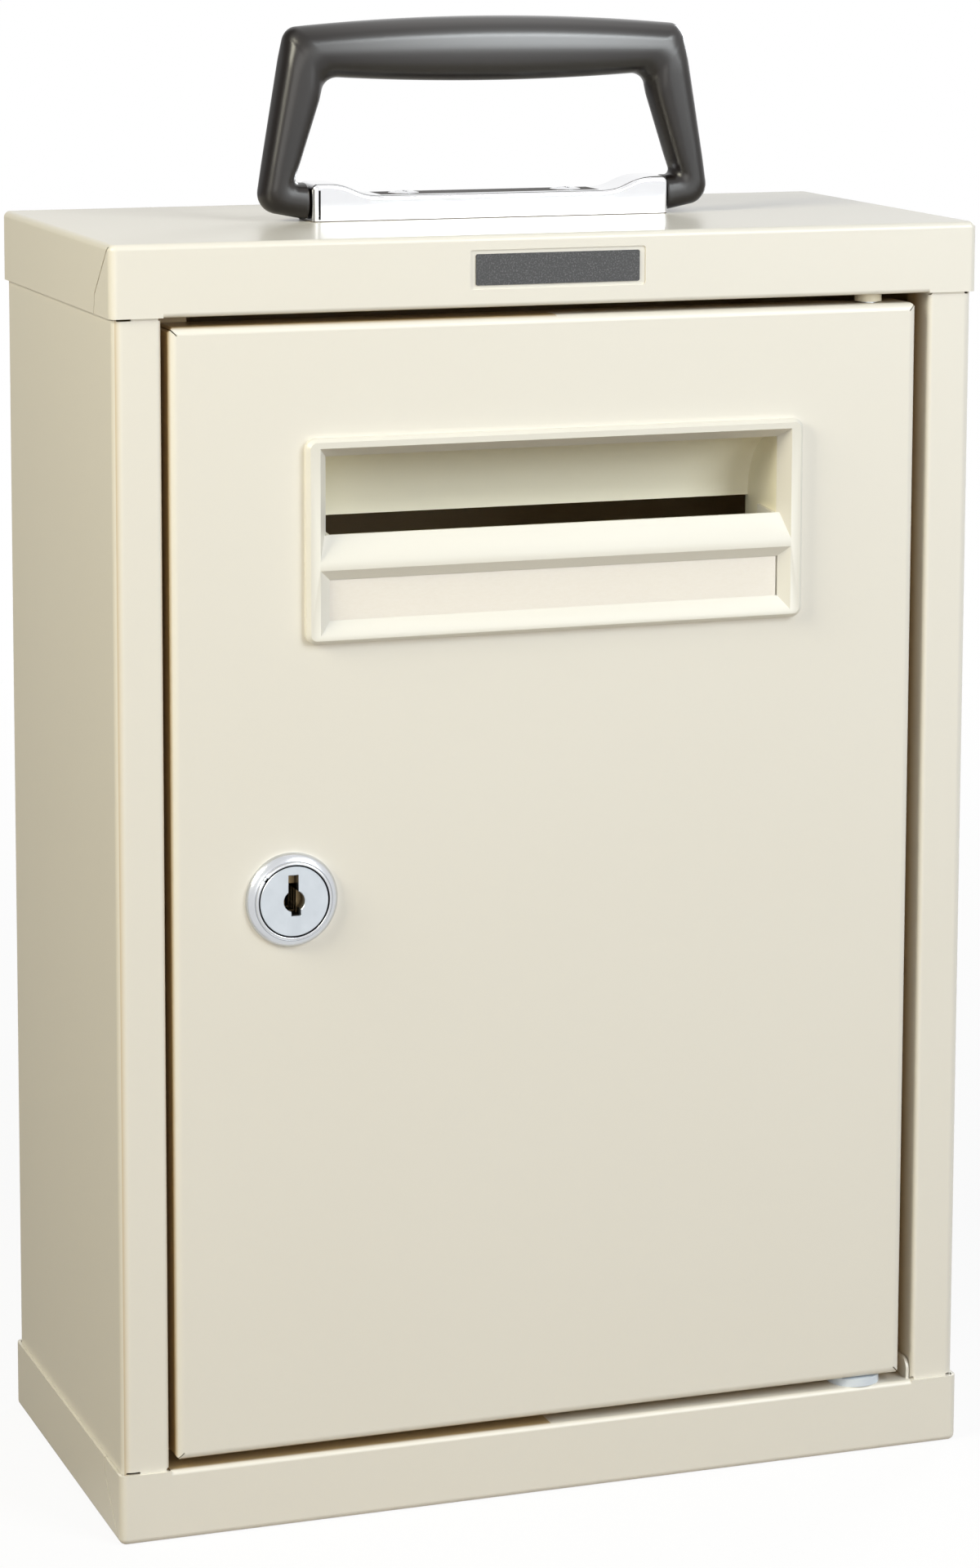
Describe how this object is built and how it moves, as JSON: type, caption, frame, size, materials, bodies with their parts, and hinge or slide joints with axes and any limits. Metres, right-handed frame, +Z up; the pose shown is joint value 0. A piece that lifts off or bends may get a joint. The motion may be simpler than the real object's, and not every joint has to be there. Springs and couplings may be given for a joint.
{
  "type": "suggestion box",
  "caption": "Cream steel suggestion box with a hinged front door, letter slot with curved hood, card window, cam lock and a folding carry handle.",
  "frame": {"origin": "middle of the underside, on the surface the box stands on", "axes": "+Z up, -Y out of the door, +X to the right seen from the front"},
  "size_m": [0.23, 0.1125, 0.3779],
  "materials": {
    "cream_steel": "satin cream powder coat",
    "ivory_plastic": "satin ivory moulding",
    "paper_card": "plain card",
    "dark_plate": "dark grey, fine speckle, bare",
    "chrome": "bright plated",
    "brushed_nickel": "brushed",
    "plain_steel": "zinc plated",
    "brass": "plain",
    "white_nylon": "bluish white",
    "cream_nylon": "cream",
    "black_plastic": "black-brown satin gloss"
  },
  "bodies": {
    "case": {"body_shell": "cream_steel", "top_cap": "cream_steel", "bottom_cap": "cream_steel", "name_plate": "dark_plate", "hinge_pin_bottom": "plain_steel", "hinge_pin_top": "plain_steel", "hinge_washer": "white_nylon", "hinge_bush": "cream_nylon", "handle_saddle": "chrome", "handle_screws": "chrome", "handle_washers": "plain_steel", "handle_nuts": "plain_steel", "handle_pins": "plain_steel"},
    "door": {"door_panel": "cream_steel", "slot_bezel": "ivory_plastic", "slot_hood": "ivory_plastic", "bezel_clips": "plain_steel", "name_card": "paper_card", "lock_body": "chrome", "lock_washer": "plain_steel", "lock_nut": "plain_steel"},
    "lock_core": {"lock_plug": "brushed_nickel", "lock_wafers": "brass", "lock_cam": "plain_steel", "cam_washer": "plain_steel", "cam_screw": "plain_steel"},
    "handle": {"handle_bail": "black_plastic"}
  },
  "joints": [
    {"name": "door_hinge", "type": "hinge", "parent": "case", "child": "door", "pos_m": [0.0875, -0.048, 0.163], "axis": [0, 0, 1], "range_deg": [0, 130]},
    {"name": "lock_turn", "type": "hinge", "parent": "door", "child": "lock_core", "pos_m": [-0.0699, -0.05, 0.1621], "axis": [0, -1, 0], "range_deg": [0, 90]},
    {"name": "handle_fold", "type": "hinge", "parent": "case", "child": "handle", "pos_m": [0, 0, 0.3319], "axis": [1, 0, 0], "range_deg": [-88, 88]}
  ]
}
